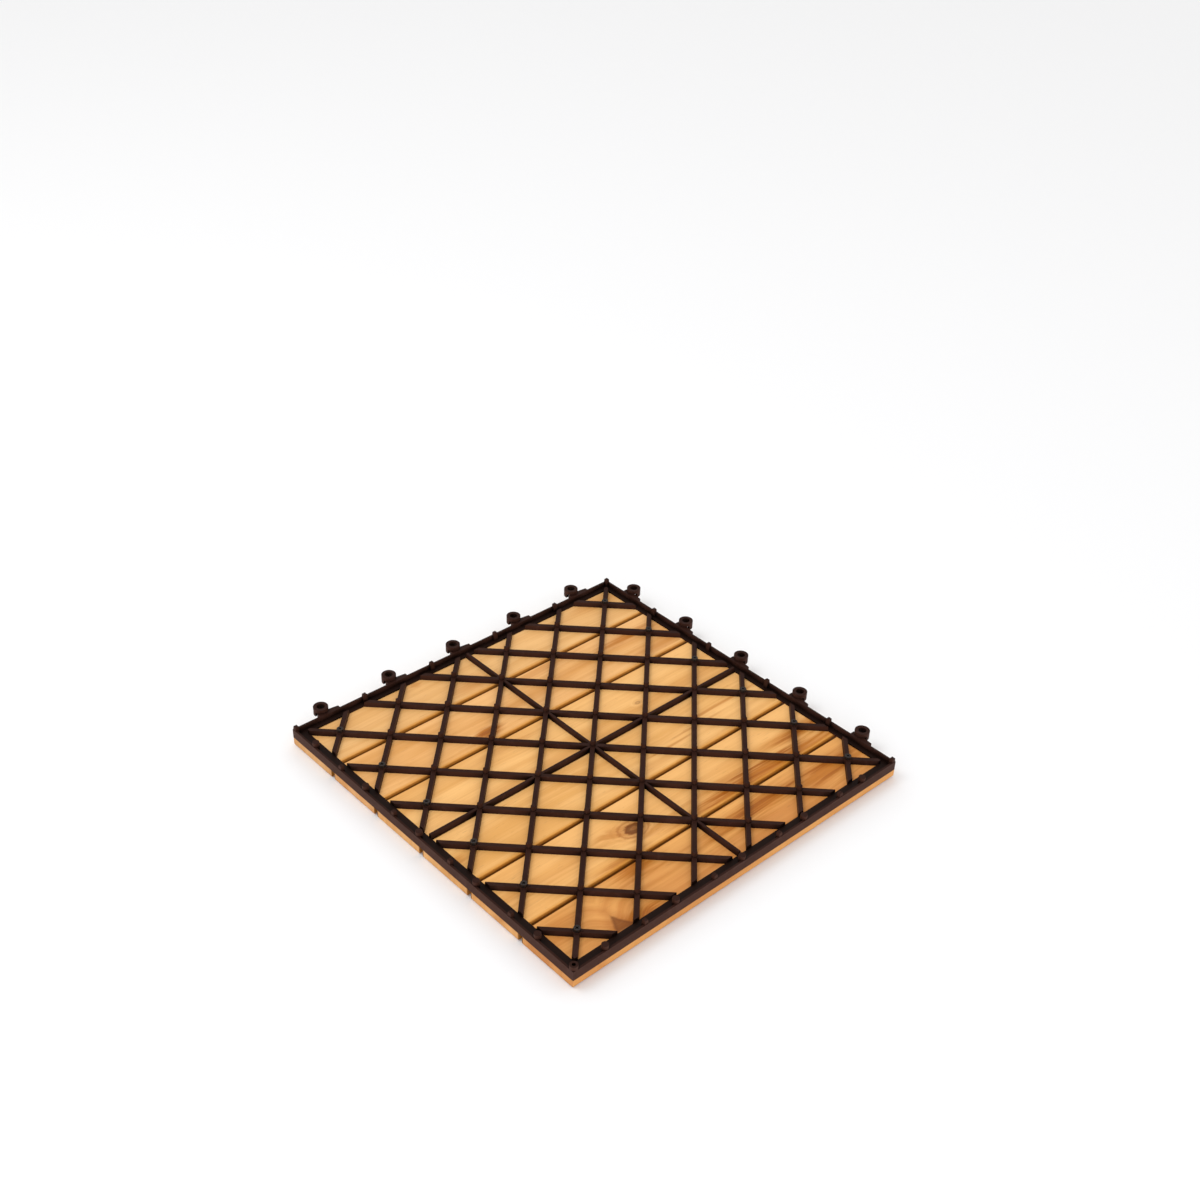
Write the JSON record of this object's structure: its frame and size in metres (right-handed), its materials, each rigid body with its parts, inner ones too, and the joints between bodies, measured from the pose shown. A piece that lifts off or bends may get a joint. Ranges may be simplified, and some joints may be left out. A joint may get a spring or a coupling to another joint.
{
  "type": "interlocking deck tile",
  "caption": "Square floor tile of parallel wooden slats screwed to a moulded lattice base with pegs on two sides and ring sockets on the other two.",
  "frame": {"origin": "middle of the bounding box's bottom, in the tread plane; the tile's own centre is at (-4.55, -4.55) mm because the sockets stand out on two sides only", "axes": "the tile lies upturned as pictured: +Z from the tread up to the base's feet, slats along X, sockets on the +X and +Y sides, pegs on the -X and -Y sides"},
  "size_m": [0.308, 0.308, 0.018],
  "materials": {
    "base_plastic": "semi-matt moulded polypropylene",
    "screw_steel": "darkened zinc",
    "slat_1_wood": "oiled, sawn back and planed tread",
    "slat_2_wood": "oiled, sawn back and planed tread",
    "slat_3_wood": "oiled, sawn back and planed tread",
    "slat_4_wood": "oiled, sawn back and planed tread",
    "slat_5_wood": "oiled, sawn back and planed tread",
    "slat_6_wood": "oiled, sawn back and planed tread"
  },
  "bodies": {
    "root": {"base": "base_plastic", "slat_screws": "screw_steel", "slat_1": "slat_1_wood", "slat_2": "slat_2_wood", "slat_3": "slat_3_wood", "slat_4": "slat_4_wood", "slat_5": "slat_5_wood", "slat_6": "slat_6_wood"}
  },
  "joints": []
}
